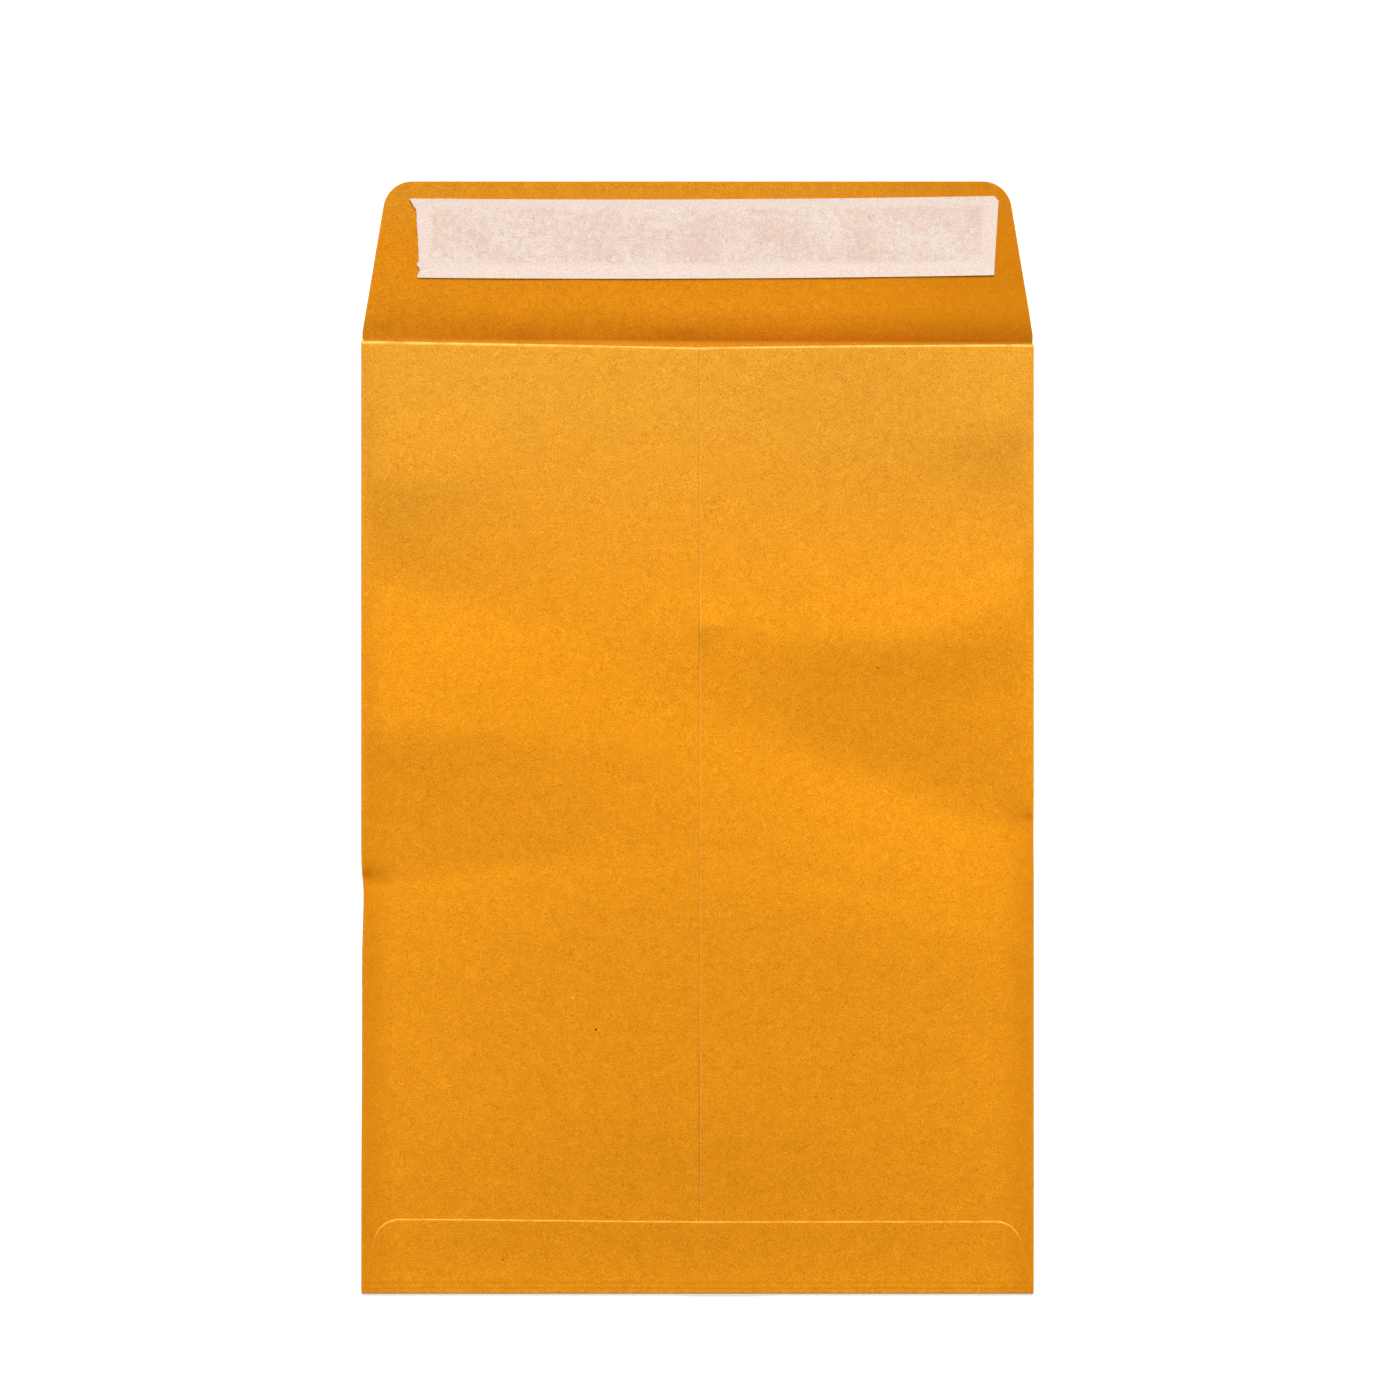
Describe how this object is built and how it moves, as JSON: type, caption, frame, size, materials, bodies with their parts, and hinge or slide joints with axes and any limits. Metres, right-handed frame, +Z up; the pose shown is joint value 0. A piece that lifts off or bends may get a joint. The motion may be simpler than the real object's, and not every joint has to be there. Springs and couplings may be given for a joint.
{
  "type": "paper envelope",
  "caption": "Open kraft paper pocket envelope with a lapped back seam, a glued bottom flap and an open self-seal flap with its release liner.",
  "frame": {"origin": "on the resting plane, under the middle of the envelope's overall length and width with the flap open", "axes": "+Z up, away from the address side that it lies on; +Y along the pocket from the bottom fold to the sealing flap; +X to the right as the seam side is looked at"},
  "size_m": [0.229, 0.378, 0.0097],
  "materials": {
    "kraft_paper": "uncoated golden kraft, fine fibre grain, matt",
    "glue": "thin dried dextrin glue film",
    "self_seal_adhesive": "pressure-sensitive adhesive, mottled",
    "liner_paper": "thin release paper, the adhesive shows through"
  },
  "bodies": {
    "root": {"kraft_sheet": "kraft_paper", "seam_glue": "glue", "bottom_glue": "glue", "seal_band": "self_seal_adhesive", "release_liner": "liner_paper"}
  },
  "joints": []
}
